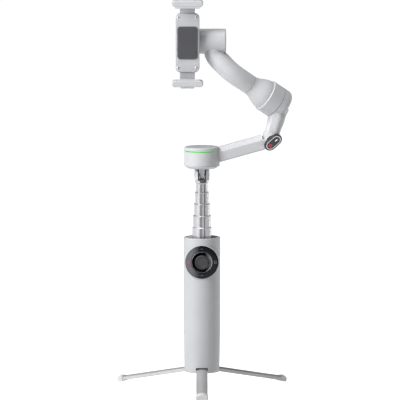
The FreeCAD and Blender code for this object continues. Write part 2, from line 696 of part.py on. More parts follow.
def make_upper_arm():
    last = len(UPPER_ARM_PATH) - 1
    sections = []
    for index, (centre, half_width, half_depth) in enumerate(UPPER_ARM_PATH):
        before = UPPER_ARM_PATH[max(index - 1, 0)][0]
        after = UPPER_ARM_PATH[min(index + 1, last)][0]
        sections.append(arm_section(centre, after - before, half_width, half_depth))
    horn = loft(sections)
    cup = roll_turned([(0, -ROLL_CUP_DEPTH), (ROLL_R, -ROLL_CUP_DEPTH), (ROLL_R, -ROLL_GAP), (0, -ROLL_GAP)])
    back = roll_point(-ROLL_CUP_DEPTH)
    cup = round_edges(cup, 5.0, lambda edge: (edge.CenterOfMass - back).Length < 0.5)
    barrel = cylinder(KNUCKLE_R - 0.1, fold_point(BARREL_START), fold_point(BARREL_END))
    boss = cylinder(FOLD_BOSS_R, fold_point(BARREL_END), fold_point(FOLD_BOSS_END))
    arm = horn.fuse([cup, barrel, boss])
    floor = -ROLL_CUP_DEPTH + ROLL_FLOOR
    cavity = roll_turned([(0, floor), (8.8, floor), (ROLL_R - 1.5, -5.4),
                          (ROLL_R - 1.5, 1.0), (0, 1.0)])
    arm = arm.cut(cavity)
    arm = arm.cut(roll_turned([(0, -ROLL_GAP), (ROLL_R + 10, -ROLL_GAP), (ROLL_R + 10, 30.0), (0, 30.0)]))
    arm = arm.cut(cylinder(FOLD_CLEAR_R, fold_point(-20.0), fold_point(BARREL_START)))
    return arm.cut(cylinder(FOLD_PIN_R + 0.05, fold_point(-1), fold_point(20))).removeSplitter()


ROLL_STATOR = dict(outer=8.8, inner=3.6, low=-6.6, high=-2.4)


def make_roll_stator():
    core = motor_stator(**ROLL_STATOR, origin=ROLL_POINT, axis=ROLL_DIR)
    floor = -ROLL_CUP_DEPTH + ROLL_FLOOR
    seat = roll_turned([(3.4, floor), (5.2, floor), (5.2, -6.6), (3.4, -6.6)])
    return fuse(core, seat)


def make_roll_bearing():
    return roll_turned([(2.04, -8.8), (3.4, -8.8), (3.4, -5.4), (2.04, -5.4)])


def make_roll_rotor():
    """Shaft, bell and magnet ring, turning with the roll housing."""
    shaft = roll_turned([(0, -8.7), (2.0, -8.7), (2.0, -1.6), (4.0, -1.6), (4.0, 1.4), (0, 1.4)])
    bell = roll_turned([(9.1, -5.0), (12.6, -5.0), (12.6, 1.4), (4.0, 1.4), (4.0, 0.4), (9.1, 0.4)])
    return fuse(shaft, bell)


def make_roll_housing():
    nose = Part.BSplineCurve()
    nose.interpolate(Points=[Vector(15.2, 0, 13.8), Vector(14.7, 0, 17.5), Vector(13.4, 0, 21.5),
                             Vector(11.5, 0, 25.8), Vector(10.1, 0, 29.6), Vector(NECK_R, 0, ROLL_NOSE_END)])
    rim = Part.Arc(Vector(ROLL_R, 0, ROLL_BAND), Vector(16.05, 0, 13.2), Vector(15.2, 0, 13.8))
    inside = [Vector(NECK_R, 0, ROLL_NOSE_END), Vector(6.5, 0, ROLL_NOSE_END), Vector(6.5, 0, 29.0),
              Vector(9.0, 0, 23.5), Vector(12.5, 0, 17.0), Vector(13.6, 0, 13.0), Vector(14.4, 0, 10.0),
              Vector(14.4, 0, 1.4),
              Vector(12.6, 0, 1.4), Vector(12.6, 0, ROLL_GAP), Vector(ROLL_R, 0, ROLL_GAP),
              Vector(ROLL_R, 0, ROLL_BAND)]
    edges = [rim.toShape(), nose.toShape()]
    edges += [Part.LineSegment(a, b).toShape() for a, b in zip(inside, inside[1:])]
    face = Part.Face(Part.Wire(edges))
    return place(face.revolve(ORIGIN, Z_AXIS, 360), ROLL_POINT, ROLL_DIR)


# ---------------------------------------------------------------- tilt arm and tilt motor

def round_section(centre, normal, radius):
    circle = Part.Wire(Part.Circle(ORIGIN, Z_AXIS, radius).toShape())
    return circle.transformed(local_frame(centre, X_AXIS, normal), True)


def tilt_cylinder(radius, low_x, high_x):
    return cylinder(radius, Vector(low_x, TILT_Y, PHONE_Z), Vector(high_x, TILT_Y, PHONE_Z))


def make_tilt_arm():
    """Neck from the roll motor's nose to the tilt motor's side, swelling as it rises."""
    stations = (roll_point(ROLL_NOSE_END + 0.3), roll_point(45.0), roll_point(57.0) + Vector(0, 2.0, 0.3),
                Vector(17.5, 8.5, 310.5), Vector(11.5, TILT_Y, 322.0))
    line = Part.BSplineCurve()
    line.interpolate(Points=list(stations), InitialTangent=ROLL_DIR * 40, FinalTangent=Vector(-4, 2, 30))
    first, last = line.FirstParameter, line.LastParameter
    rings = []
    for step in range(NECK_RINGS + 1):
        share = step / NECK_RINGS
        at = first + (last - first) * share
        radius = NECK_R + (NECK_END_R - NECK_R) * math.sin(min(share * 1.25, 1.0) * math.pi / 2)
        rings.append(round_section(line.value(at), line.tangent(at)[0], radius))
    neck = Part.makeLoft(rings, True, True)
    return neck.cut(tilt_cylinder(TILT_R, TILT_LEFT - 5, TILT_RIGHT + 5))


def make_tilt_housing():
    shell = tilt_cylinder(TILT_R, TILT_LEFT, TILT_RIGHT - 2.0)
    shell = round_edges(shell, 0.6, lambda edge: edge.BoundBox.XMax < TILT_LEFT + 0.1)
    return shell.cut(tilt_cylinder(TILT_R - TILT_WALL, TILT_LEFT - 1, TILT_RIGHT))


def make_tilt_end_cap():
    cap = tilt_cylinder(TILT_R, TILT_RIGHT - 2.0, TILT_RIGHT)
    cap = round_edges(cap, 1.4, lambda edge: edge.BoundBox.XMin > TILT_RIGHT - 0.1)
    post = tilt_cylinder(4.6, TILT_RIGHT - 14.0, TILT_RIGHT - 2.0)
    return fuse(cap, post).cut(tilt_cylinder(3.0, TILT_RIGHT - 15.0, TILT_RIGHT - 8.0))


TILT_STATOR = dict(outer=8.2, inner=4.6, low=11.2, high=19.0)


def make_tilt_stator():
    return motor_stator(**TILT_STATOR, origin=Vector(0, TILT_Y, PHONE_Z), axis=X_AXIS)


def make_tilt_rotor():
    """Shaft, bell and magnet ring, turning with the phone clamp."""
    bell = tilt_cylinder(10.6, -4.0, 18.6).cut(tilt_cylinder(8.5, -2.8, 20.0))
    shaft = tilt_cylinder(2.0, TILT_LEFT - 0.4, TILT_RIGHT - 11.0)
    return fuse(bell, shaft, tilt_cylinder(3.6, TILT_LEFT - 0.4, -4.0))


# ---------------------------------------------------------------- phone clamp

def make_tilt_hub():
    """Disc on the tilt shaft, with a bracket that carries the clamp's back plate."""
    right = TILT_LEFT - 0.4
    left = right - 6.6
    disc = tilt_cylinder(TILT_R - 0.5, left, right)
    disc = round_edges(disc, 1.0, lambda edge: edge.BoundBox.XMax < left + 0.1)
    bracket = box((left, PLATE_BACK_Y, PHONE_Z - 9.0), (right, TILT_Y, PHONE_Z + 9.0))
    return fuse(disc, bracket)


def make_clamp_plate():
    depth = PLATE_BACK_Y - PLATE_FRONT_Y
    plate = rounded_block(PLATE_HALF_WIDTH, PLATE_HALF_HEIGHT, depth, 5.0)
    plate = round_edges(plate, 0.9, lambda edge: edge.BoundBox.ZLength < 0.01)
    channel = box((-STRAP_HALF_WIDTH - 0.2, -40, depth / 2 - STRAP_THICKNESS / 2 - 0.2),
                  (STRAP_HALF_WIDTH + 0.2, 40, depth / 2 + STRAP_THICKNESS / 2 + 0.2))
    recess = rounded_block(PLATE_HALF_WIDTH - 2.0, 16.2, 0.6, 3.0)
    plate = plate.cut(channel).cut(recess)
    return place(plate, Vector(PHONE_X, PLATE_FRONT_Y, PHONE_Z), Y_AXIS, X_AXIS)


def make_clamp_pad():
    pad = rounded_block(PLATE_HALF_WIDTH - 2.0, 16.2, 1.6, 3.0)
    pad = round_edges(pad, 0.4, lambda edge: edge.BoundBox.ZMax < 0.01)
    return place(pad, Vector(PHONE_X, PHONE_BACK_Y, PHONE_Z), Y_AXIS, X_AXIS)


def jaw_shape(side):
    """Jaw above (side = 1) or below (side = -1) the phone, with the strap that slides in the plate."""
    face_z = PHONE_Z + side * PHONE_GAP / 2
    depth = JAW_BACK_Y - JAW_FRONT_Y
    bar = capsule(JAW_WIDTH, JAW_HEIGHT, depth)
    bar = round_edges(bar, 1.1, lambda edge: edge.BoundBox.ZLength < 0.01)
    bar = place(bar, Vector(PHONE_X, JAW_FRONT_Y, face_z + side * JAW_HEIGHT / 2), Y_AXIS, X_AXIS)
    bump = rounded_block(7.0, 1.4, depth - 3.0, 1.3)
    bump = round_edges(bump, 0.5, lambda edge: edge.BoundBox.ZLength < 0.01)
    bump = place(bump, Vector(PHONE_X, JAW_FRONT_Y + 1.0, face_z + side * JAW_HEIGHT), Y_AXIS, X_AXIS)
    lip = rounded_block(JAW_WIDTH / 2 - 3.0, JAW_LIP, 2.0, 1.2)
    lip = round_edges(lip, 0.5, lambda edge: edge.BoundBox.ZLength < 0.01)
    lip = place(lip, Vector(PHONE_X, JAW_FRONT_Y + 0.3, face_z), Y_AXIS, X_AXIS)
    middle_y = (PLATE_FRONT_Y + PLATE_BACK_Y) / 2
    low_z, high_z = sorted((face_z + side * 1.0, face_z - side * STRAP_LENGTH))
    strap = box((PHONE_X - STRAP_HALF_WIDTH, middle_y - STRAP_THICKNESS / 2, low_z),
                (PHONE_X + STRAP_HALF_WIDTH, middle_y + STRAP_THICKNESS / 2, high_z))
    return fuse(bar, bump, lip, strap)


def make_jaw_pad(side):
    face_z = PHONE_Z + side * PHONE_GAP / 2
    pad = rounded_block(JAW_WIDTH / 2 - 4.5, 4.2, JAW_PAD_THICKNESS, 1.6)
    pad.translate(Vector(0, 0, -JAW_PAD_THICKNESS))
    return place(pad, Vector(PHONE_X, -12.6, face_z), Z_AXIS * side, X_AXIS)


# ---------------------------------------------------------------- write the nodes

def add(name, shape):
    nodes[name] = shape


add("grip_shell", make_grip_shell())
add("grip_top_collar", make_grip_top_collar())
add("base_cap", make_base_cap())
add("base_screws", make_base_screws())
add("socket_insert", make_socket_insert())
add("leg_hinge_pins", make_leg_pins())
add("inner_chassis", make_inner_chassis())
add("battery_cell", make_battery_cell())
add("main_board", make_main_board())
add("usb_socket", make_usb_socket())
add("control_ring", make_control_ring())
add("joystick_well", make_joystick_well())
add("joystick_gimbal", make_joystick_gimbal())
add("joystick_cap", make_joystick_cap())
add("trigger", make_trigger())
for leg_name, leg_degrees in LEG_ANGLES.items():
    add("leg_" + leg_name, make_leg(leg_degrees))
    add("foot_" + leg_name, make_foot(leg_degrees))
for tube_index in range(len(STICK_RADII)):
    add("stick_tube_%d" % (tube_index + 1), make_stick_tube(tube_index))
add("stick_collar", make_stick_collar())
add("tilt_fork", make_tilt_fork())
add("tilt_liners", make_tilt_liners())
add("tilt_pin", make_tilt_pin())
add("pan_base", make_pan_base())
add("pan_shaft", make_pan_shaft())
add("pan_stator", make_pan_stator())
add("pan_windings", make_pan_windings())
add("pan_housing", make_pan_housing())
add("pan_top_cap", make_pan_top_cap())
add("led_ring", make_led_ring())
add("pan_magnets", make_pan_magnets())
add("pan_bearing", make_pan_bearing())
add("lower_arm", make_lower_arm())
add("fold_block", make_fold_block())
add("fold_pin", make_fold_pin())
add("fold_cap", make_fold_cap())
add("upper_arm", make_upper_arm())
add("roll_stator", make_roll_stator())
add("roll_bearing", make_roll_bearing())
add("roll_rotor", make_roll_rotor())
add("roll_housing", make_roll_housing())
add("tilt_arm", make_tilt_arm())
add("tilt_housing", make_tilt_housing())
add("tilt_end_cap", make_tilt_end_cap())
add("tilt_stator", make_tilt_stator())
add("tilt_rotor", make_tilt_rotor())
add("tilt_hub", make_tilt_hub())
add("clamp_plate", make_clamp_plate())
add("clamp_pad", make_clamp_pad())
add("upper_jaw", jaw_shape(1))
add("upper_jaw_pad", make_jaw_pad(1))
add("lower_jaw", jaw_shape(-1))
add("lower_jaw_pad", make_jaw_pad(-1))

os.makedirs("parts", exist_ok=True)
for name, shape in nodes.items():
    shape.exportStep("parts/%s.step" % name)
    print(name, "solids", len(shape.Solids), "valid", shape.isValid(), "mm3", round(shape.Volume, 1))
print(len(nodes), "nodes")
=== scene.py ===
import json
import math

import bmesh
import bpy
from mathutils import Matrix, Vector


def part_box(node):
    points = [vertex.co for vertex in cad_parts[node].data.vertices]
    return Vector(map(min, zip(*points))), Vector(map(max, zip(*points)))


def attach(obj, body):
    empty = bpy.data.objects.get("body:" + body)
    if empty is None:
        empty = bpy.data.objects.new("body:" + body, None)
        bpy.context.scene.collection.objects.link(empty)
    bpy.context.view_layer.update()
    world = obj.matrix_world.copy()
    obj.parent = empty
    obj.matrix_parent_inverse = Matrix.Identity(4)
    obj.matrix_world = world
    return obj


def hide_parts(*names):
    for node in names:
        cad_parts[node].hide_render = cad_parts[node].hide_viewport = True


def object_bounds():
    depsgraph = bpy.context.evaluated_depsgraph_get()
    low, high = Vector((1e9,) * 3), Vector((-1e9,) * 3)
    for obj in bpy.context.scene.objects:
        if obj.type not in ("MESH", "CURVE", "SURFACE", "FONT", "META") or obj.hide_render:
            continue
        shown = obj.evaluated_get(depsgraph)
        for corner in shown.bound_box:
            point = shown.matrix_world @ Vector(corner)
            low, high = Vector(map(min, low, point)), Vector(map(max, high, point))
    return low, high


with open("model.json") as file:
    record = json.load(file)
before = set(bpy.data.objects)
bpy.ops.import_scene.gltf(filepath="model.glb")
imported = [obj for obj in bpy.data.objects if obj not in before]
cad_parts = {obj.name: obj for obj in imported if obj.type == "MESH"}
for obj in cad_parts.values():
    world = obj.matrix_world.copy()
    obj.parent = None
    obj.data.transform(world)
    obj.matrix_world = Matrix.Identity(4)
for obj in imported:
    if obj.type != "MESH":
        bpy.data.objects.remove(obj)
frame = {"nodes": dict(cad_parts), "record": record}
cad_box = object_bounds()

# A phone gimbal on a telescopic stick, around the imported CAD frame.
# Metres. +Z runs up the handle and the control pad faces -Y.

MM = 0.001
SEGMENTS = 96
X_AXIS = Vector((1, 0, 0))
Z_AXIS = Vector((0, 0, 1))

# ---- camera and studio ----
CAMERA_ELEVATION = math.radians(6.5)
CAMERA_DISTANCE = 8.0
FRAME_WIDTH = 0.398
FRAME_CENTRE = Vector((-0.0019, 0.0, 0.1719))
SENSOR = 36.0
FLOOR_HALF_SIZE = 75.0
FLOOR_GLOW = 0.97
SKY = 0.15

# ---- details that the CAD leaves to this file ----
RING_SLOPE = 0.45 * MM
MARK_RADIUS = 13.3 * MM
MARK_HEIGHT = 0.12 * MM
GROOVE_DEPTH = 0.42 * MM
GROOVES = ((-0.8 * MM, 1.3 * MM), (2.65 * MM, 0.75 * MM))
TUBE_LIP = 0.4 * MM
FOLD_CAP_THICKNESS = 2.2 * MM
FOLD_CAP_ANGLE = math.radians(42)
FOLD_BOSS_END = 17.2 * MM

record = frame["record"]
nodes = frame["nodes"]
joints = {joint["name"]: joint for joint in record["behaviour"]["joints"]}


# ------------------------------------------------------------------ material helpers

def new_material(name):
    material = bpy.data.materials.new(name)
    material.use_nodes = True
    return material, material.node_tree, material.node_tree.nodes["Principled BSDF"]


def object_coords(tree, stretch=(1, 1, 1)):
    """Object-space coordinates, squeezed so that noise runs in streaks."""
    coords = tree.nodes.new("ShaderNodeTexCoord")
    mapping = tree.nodes.new("ShaderNodeMapping")
    mapping.inputs["Scale"].default_value = stretch
    tree.links.new(coords.outputs["Object"], mapping.inputs["Vector"])
    return mapping.outputs["Vector"]


def noise(tree, vector, scale, detail=2.0):
    node = tree.nodes.new("ShaderNodeTexNoise")
    node.inputs["Scale"].default_value = scale
    node.inputs["Detail"].default_value = detail
    tree.links.new(vector, node.inputs["Vector"])
    return node.outputs["Fac"]


def ramp(tree, fac, low, high):
    node = tree.nodes.new("ShaderNodeValToRGB")
    node.color_ramp.elements[0].position = 0.3
    node.color_ramp.elements[1].position = 0.7
    node.color_ramp.elements[0].color = (*low, 1)
    node.color_ramp.elements[1].color = (*high, 1)
    tree.links.new(fac, node.inputs["Fac"])
    return node.outputs["Color"]


def remap(tree, fac, low, high):
    node = tree.nodes.new("ShaderNodeMapRange")
    node.inputs["From Min"].default_value = 0.3
    node.inputs["From Max"].default_value = 0.7
    node.inputs["To Min"].default_value = low
    node.inputs["To Max"].default_value = high
    tree.links.new(fac, node.inputs["Value"])
    return node.outputs["Result"]


def bump(tree, height, strength):
    node = tree.nodes.new("ShaderNodeBump")
    node.inputs["Strength"].default_value = strength
    node.inputs["Distance"].default_value = 0.0004
    tree.links.new(height, node.inputs["Height"])
    return node.outputs["Normal"]


def shade(colour, factor):
    return tuple(min(channel * factor, 1.0) for channel in colour)


def surface(name, colour, roughness, metallic=0.0, drift=0.03, patch=42.0, grain=5200.0, relief=0.03,
            stretch=(1, 1, 1), coat=0.0, anisotropy=0.0):
    """Moulded, cast or turned surface: slow tone drift, uneven gloss and a fine grain in relief."""
    material, tree, shader = new_material(name)
    slow = noise(tree, object_coords(tree), patch)
    fine = noise(tree, object_coords(tree, stretch), grain)
    links = tree.links
    tone = ramp(tree, slow, shade(colour, 1 - drift), shade(colour, 1 + drift))
    links.new(tone, shader.inputs["Base Color"])
    links.new(remap(tree, fine, roughness * 0.85, roughness * 1.15), shader.inputs["Roughness"])
    links.new(bump(tree, fine, relief), shader.inputs["Normal"])
    shader.inputs["Metallic"].default_value = metallic
    shader.inputs["Coat Weight"].default_value = coat
    shader.inputs["Coat Roughness"].default_value = 0.06
    shader.inputs["Anisotropic"].default_value = anisotropy
    return material


def light_guide(name, colour, strength):
    """Light guide: a little brighter where the lamps behind it sit."""
    material, tree, shader = new_material(name)
    slow = noise(tree, object_coords(tree), 160.0, detail=1.0)
    links = tree.links
    links.new(ramp(tree, slow, shade(colour, 0.85), colour), shader.inputs["Base Color"])
    links.new(ramp(tree, slow, shade(colour, 0.75), colour), shader.inputs["Emission Color"])
    shader.inputs["Emission Strength"].default_value = strength
    shader.inputs["Roughness"].default_value = 0.3
    return material


def gloss_with_painted_sheen(name, sheen, dark, sheen_x, dark_x, specular):
    """Gloss face with a painted sheen: its base colour lightens towards one side, standing in for a lamp's
    reflection.
    """
    material, tree, shader = new_material(name)
    # Painted sheen: the base colour runs from the lighter sheen colour to the dark gloss across object X.
    split = tree.nodes.new("ShaderNodeSeparateXYZ")
    tree.links.new(object_coords(tree), split.inputs["Vector"])
    fade = tree.nodes.new("ShaderNodeMapRange")
    fade.inputs["From Min"].default_value = sheen_x
    fade.inputs["From Max"].default_value = dark_x
    tree.links.new(split.outputs["X"], fade.inputs["Value"])
    tree.links.new(ramp(tree, fade.outputs["Result"], sheen, dark), shader.inputs["Base Color"])
    fine = noise(tree, object_coords(tree), 4000.0)
    tree.links.new(remap(tree, fine, 0.20, 0.26), shader.inputs["Roughness"])
    shader.inputs["Specular IOR Level"].default_value = specular
    return material


ALONG_Z = (1, 1, 0.02)
AROUND_Z = (0.05, 0.05, 1)

MATERIALS = {
    "shell_grey": surface("shell_plastic", (0.305, 0.31, 0.32), 0.46),
    "head_grey": surface("head_plastic", (0.335, 0.339, 0.35), 0.56),
    "polished_tube": surface("polished_tube", (0.42, 0.42, 0.435), 0.27, metallic=0.75, grain=9000.0,
                             stretch=ALONG_Z, anisotropy=0.4),
    "leg_aluminium": surface("leg_metal", (0.34, 0.34, 0.35), 0.45, metallic=0.5, grain=7000.0,
                             stretch=AROUND_Z),
    "gloss_black": surface("gloss_black", (0.010, 0.010, 0.012), 0.14, coat=0.7, relief=0.004),
    "matte_black": surface("matte_black", (0.016, 0.016, 0.018), 0.45),
    "graphite": surface("graphite_plastic", (0.05, 0.05, 0.055), 0.45),
    "foot_rubber": surface("foot_rubber", (0.38, 0.38, 0.378), 0.62, grain=2600.0, relief=0.08),
    "pad_rubber": surface("pad_rubber", (0.045, 0.045, 0.05), 0.7, grain=2200.0, relief=0.12),
    "thumb_rubber": surface("thumb_rubber", (0.017, 0.017, 0.019), 0.48, grain=3000.0, relief=0.15),
    "hardware_steel": surface("hardware_steel", (0.55, 0.55, 0.57), 0.3, metallic=1.0),
    "insert_brass": surface("insert_brass", (0.72, 0.53, 0.22), 0.28, metallic=1.0),
    "winding_copper": surface("winding_copper", (0.66, 0.28, 0.12), 0.35, metallic=1.0),
    "magnet_nickel": surface("magnet_nickel", (0.42, 0.42, 0.44), 0.3, metallic=1.0),
    "led_green": light_guide("led_green", (0.03, 0.26, 0.035), 0.9),
    "board_green": surface("board_green", (0.02, 0.16, 0.07), 0.35),
    "cell_wrap": surface("cell_wrap", (0.07, 0.13, 0.30), 0.3),
}
MARK_RED = surface("mark_red", (0.34, 0.012, 0.026), 0.5, drift=0.08)
MARK_DULL_RED = surface("mark_dull_red", (0.24, 0.05, 0.07), 0.5, drift=0.08)
MARK_LIGHT = surface("mark_light", (0.62, 0.63, 0.64), 0.35, drift=0.05)
MARK_WHITE = surface("mark_white", (0.80, 0.80, 0.80), 0.3, drift=0.03)
MARK_SOFT = surface("mark_soft", (0.14, 0.14, 0.145), 0.4, drift=0.05)
MARK_DIM = surface("mark_dim", (0.10, 0.10, 0.105), 0.4, drift=0.08)
# Painted shade: a darker copy of the tube metal for the strips laid in the grooves.
GROOVE_PAINTED_SHADE = surface("groove_painted_shade", (0.19, 0.19, 0.20), 0.36, metallic=0.6, grain=9000.0, stretch=ALONG_Z)
# Painted reflection: a darker copy of the tube metal for the band across the collar's front.
COLLAR_PAINTED_REFLECTION = surface("collar_painted_reflection", (0.05, 0.05, 0.055), 0.36, metallic=0.6, grain=9000.0, stretch=ALONG_Z)
# Painted sheen: the control ring is lighter towards its left rim, where the key lamp's reflection falls.
RING_PAINTED_SHEEN = gloss_with_painted_sheen("ring_gloss_painted_sheen", (0.09, 0.092, 0.10), (0.005, 0.005, 0.006), -16 * MM, 4 * MM, 0.16)
# Painted reflection: the joystick funnel is lighter on its right side, a crescent of the key lamp's
# reflection.
BOWL_PAINTED_REFLECTION = gloss_with_painted_sheen("bowl_gloss_painted_reflection", (0.20, 0.205, 0.215), (0.004, 0.004, 0.005), 13.5 * MM, -1 * MM, 0.3)
LIP_METAL = surface("lip_metal", (0.30, 0.30, 0.31), 0.4, metallic=1.0)


def dress_cad_nodes():
    for part in record["subparts"]:
        mesh = nodes[part["node"]].data
        mesh.materials.clear()
        mesh.materials.append(MATERIALS[part["material_slot"]])


# ------------------------------------------------------------------ mesh helpers

def finish_piece(name, builder, material, body, replaced=(), bevel=0.0):
    """Turn a bmesh into a smooth-shaded piece that rides on a body."""
    mesh = bpy.data.meshes.new(name)
    bmesh.ops.recalc_face_normals(builder, faces=builder.faces)
    builder.to_mesh(mesh)
    builder.free()
    mesh.materials.append(material)
    piece = bpy.data.objects.new(name, mesh)
    bpy.context.collection.objects.link(piece)
    if bevel:
        modifier = piece.modifiers.new("edges", "BEVEL")
        modifier.width = bevel
        modifier.segments = 3
        modifier.limit_method = "ANGLE"
        modifier.harden_normals = True
    for face in mesh.polygons:
        face.use_smooth = True
    mesh.set_sharp_from_angle(angle=math.radians(35))
    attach(piece, body)
    if replaced:
        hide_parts(*replaced)
    return piece


def axes(origin, x_dir, z_dir):
    """Matrix that carries local axes to x_dir and z_dir at origin."""
    z_unit = z_dir.normalized()
    x_unit = (x_dir - z_unit * x_dir.dot(z_unit)).normalized()
    matrix = Matrix((x_unit, z_unit.cross(x_unit), z_unit)).transposed().to_4x4()
    return Matrix.Translation(origin) @ matrix


def lathe_rings(builder, profile, matrix, segments):
    """One ring of corners about the local Z axis for each (radius, height)."""
    rings = []
    for radius, height in profile:
        ring = []
        for step in range(segments):
            turn = 2 * math.pi * step / segments
            spot = Vector((radius * math.cos(turn), radius * math.sin(turn), height))
            ring.append(builder.verts.new(matrix @ spot))
        rings.append(ring)
    return rings


def join_loops(builder, loop, other):
    """Band of faces between two loops with the same number of corners."""
    count = len(loop)
    for step in range(count):
        after = (step + 1) % count
        builder.faces.new((loop[step], loop[after], other[after], other[step]))


def add_lathe(builder, profile, matrix, segments=SEGMENTS):
    """Closed ring of revolution from (radius, height) corners about the local Z axis."""
    rings = lathe_rings(builder, profile, matrix, segments)
    for index, ring in enumerate(rings):
        join_loops(builder, ring, rings[(index + 1) % len(rings)])


def add_disc_lathe(builder, profile, matrix, segments=SEGMENTS):
    """Solid of revolution whose first and last corners lie near the axis and are capped."""
    rings = lathe_rings(builder, profile, matrix, segments)
    for ring, other in zip(rings, rings[1:]):
        join_loops(builder, ring, other)
    builder.faces.new(rings[0])
    builder.faces.new(rings[-1])


def rounded_outline(half_x, half_y, corner, steps=8):
    points = []
    for quarter, (sign_x, sign_y) in enumerate(((1, 1), (-1, 1), (-1, -1), (1, -1))):
        for step in range(steps + 1):
            turn = math.pi / 2 * (quarter + step / steps)
            points.append((sign_x * (half_x - corner) + corner * math.cos(turn),
                           sign_y * (half_y - corner) + corner * math.sin(turn)))
    return points


def add_slab(builder, outline, low, high, matrix):
    """Prism between two heights."""
    bottom = [builder.verts.new(matrix @ Vector((x, y, low))) for x, y in outline]
    top = [builder.verts.new(matrix @ Vector((x, y, high))) for x, y in outline]
    join_loops(builder, bottom, top)
    builder.faces.new(bottom)
    builder.faces.new(top)


def add_frame_slab(builder, outer, inner, low, high, matrix):
    """Prism with a hole: outer and inner have the same number of points."""
    loops = [[builder.verts.new(matrix @ Vector((x, y, height))) for x, y in outline]
             for outline, height in ((outer, low), (outer, high), (inner, high), (inner, low))]
    for index, loop in enumerate(loops):
        join_loops(builder, loop, loops[(index + 1) % len(loops)])


def add_arc_strip(builder, radius, thickness, low_x, high_x, low_z, high_z, steps=8):
    """Curved strip on the front of an upright cylinder."""
    first = math.asin(low_x / radius)
    last = math.asin(high_x / radius)
    turns = [first + (last - first) * step / steps for step in range(steps + 1)]
    outline = [(radius * math.sin(turn), -radius * math.cos(turn)) for turn in turns]
    inner = radius - thickness
    outline += [(inner * math.sin(turn), -inner * math.cos(turn)) for turn in reversed(turns)]
    add_slab(builder, outline, low_z, high_z, Matrix.Identity(4))


# ------------------------------------------------------------------ control pad

pad_low, pad_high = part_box("control_ring")
PAD_FRONT = Vector((0, pad_low.y, (pad_low.z + pad_high.z) / 2))
PAD_FRAME = axes(PAD_FRONT, X_AXIS, Vector((0, -1, 0)))
PAD_R = (pad_high.x - pad_low.x) / 2
PAD_DEPTH = pad_high.y - pad_low.y
RING_IN = 10.6 * MM


def make_control_face():
    """Gloss ring that falls away a little from its inner edge to its rim."""
    builder = bmesh.new()
    profile = [(RING_IN, -PAD_DEPTH), (RING_IN, -0.5 * MM), (RING_IN + 0.12 * MM, -0.16 * MM),
               (RING_IN + 0.45 * MM, 0.0), (RING_IN + 1.2 * MM, -0.04 * MM),
               (PAD_R - 1.6 * MM, -RING_SLOPE), (PAD_R - 0.7 * MM, -RING_SLOPE - 0.16 * MM),
               (PAD_R - 0.2 * MM, -RING_SLOPE - 0.5 * MM), (PAD_R, -RING_SLOPE - 0.95 * MM),
               (PAD_R, -PAD_DEPTH)]
    add_lathe(builder, profile, PAD_FRAME, segments=160)
    # The ring's material carries a painted sheen on its left side.
    finish_piece("control_face", builder, RING_PAINTED_SHEEN, "control_ring",
                 replaced=("control_ring",))


def make_joystick_bowl():
    """Glossy funnel that the thumb stick stands in, with a turned metal lip."""
    low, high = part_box("joystick_well")
    back = -(high.y - PAD_FRONT.y)
    outer = (high.x - low.x) / 2
    profile = [(outer, back), (outer, back + 1.2 * MM), (RING_IN - 0.2 * MM, -2.2 * MM),
               (RING_IN - 0.2 * MM, -0.3 * MM), (RING_IN - 0.42 * MM, -0.1 * MM), (9.95 * MM, -0.35 * MM),
               (8.9 * MM, -1.9 * MM), (8.0 * MM, -2.75 * MM), (6.4 * MM, -3.0 * MM), (3.5 * MM, -3.2 * MM),
               (3.5 * MM, back)]
    builder = bmesh.new()
    add_lathe(builder, profile, PAD_FRAME)
    # The funnel's material carries a painted reflection on its right side.
    finish_piece("joystick_bowl", builder, BOWL_PAINTED_REFLECTION, "handle",
                 replaced=("joystick_well",))
    lip = bmesh.new()
    lip_r = RING_IN - 0.42 * MM
    corners = [(lip_r + 0.14 * MM * math.cos(turn), -0.1 * MM + 0.14 * MM * math.sin(turn))
               for turn in (math.pi / 4 * step for step in range(8))]
    add_lathe(lip, corners, PAD_FRAME)
    finish_piece("joystick_lip", lip, LIP_METAL, "handle")


def make_thumb_cap():
    """Dished rubber top with fine turned grooves on its raised rim."""
    low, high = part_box("joystick_cap")
    top = -(low.y - PAD_FRONT.y)
    rim = (high.x - low.x) / 2
    profile = [(0.05 * MM, top - 0.62 * MM), (2.6 * MM, top - 0.6 * MM), (4.7 * MM, top - 0.5 * MM)]
    for step in range(3):
        start = 4.95 * MM + step * 0.48 * MM
        height = top - (0.30 - 0.13 * step) * MM
        profile += [(start, height), (start + 0.22 * MM, height), (start + 0.28 * MM, height - 0.12 * MM),
                    (start + 0.40 * MM, height - 0.12 * MM)]
    profile += [(6.42 * MM, top - 0.02 * MM), (6.7 * MM, top - 0.2 * MM), (rim - 0.08 * MM, top - 0.5 * MM),
                (rim, top - 0.8 * MM), (rim, top - 1.6 * MM), (6.3 * MM, top - 2.1 * MM),
                (1.8 * MM, top - 2.1 * MM), (1.8 * MM, top - 6.2 * MM), (0.05 * MM, top - 6.2 * MM)]
    builder = bmesh.new()
    add_disc_lathe(builder, profile, PAD_FRAME)
    finish_piece("thumb_cap", builder, MATERIALS["thumb_rubber"], "joystick",
                 replaced=("joystick_cap",))


def mark_frame(degrees):
    """Frame that lies on the sloping ring at one clock position, local X pointing outwards."""
    turn = math.radians(degrees)
    outwards = Vector((math.cos(turn), 0, math.sin(turn)))
    share = (MARK_RADIUS - RING_IN) / (PAD_R - RING_IN)
    normal = Vector((0, -1, 0)) + outwards * (RING_SLOPE / (PAD_R - RING_IN))
    spot = PAD_FRONT + outwards * MARK_RADIUS + Vector((0, RING_SLOPE * share * 1.1, 0))
    return axes(spot, outwards, normal)


